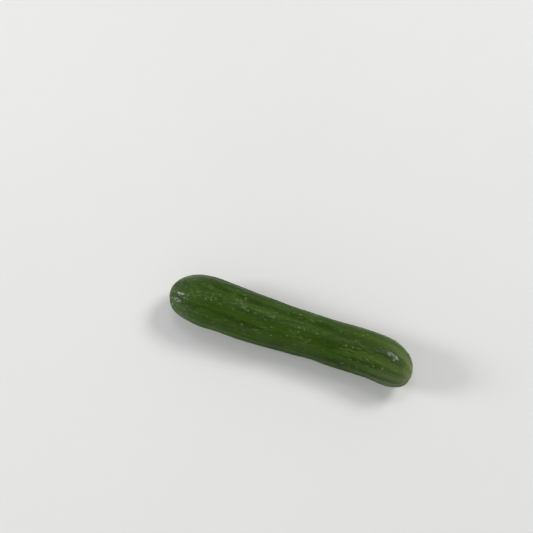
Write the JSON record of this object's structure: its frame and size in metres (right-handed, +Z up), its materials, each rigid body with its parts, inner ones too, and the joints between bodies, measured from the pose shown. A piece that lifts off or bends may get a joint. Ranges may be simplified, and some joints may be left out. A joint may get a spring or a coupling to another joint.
{
  "type": "cucumber",
  "caption": "Whole green slicing cucumber, gently bowed, with soft ribs, small warts and scarred round ends, lying on its side on a flat spot.",
  "frame": {"origin": "on the surface the cucumber lies on, under the middle of its box", "axes": "+X from the stem end to the blossom end, +Y to the side it bows towards, +Z up"},
  "size_m": [0.24, 0.0496, 0.0502],
  "materials": {
    "skin": "waxy semi-gloss dark green skin with paler lengthwise streaks and flecks, lighter at the blossom end"
  },
  "bodies": {
    "root": {"cucumber": "skin"}
  },
  "joints": []
}
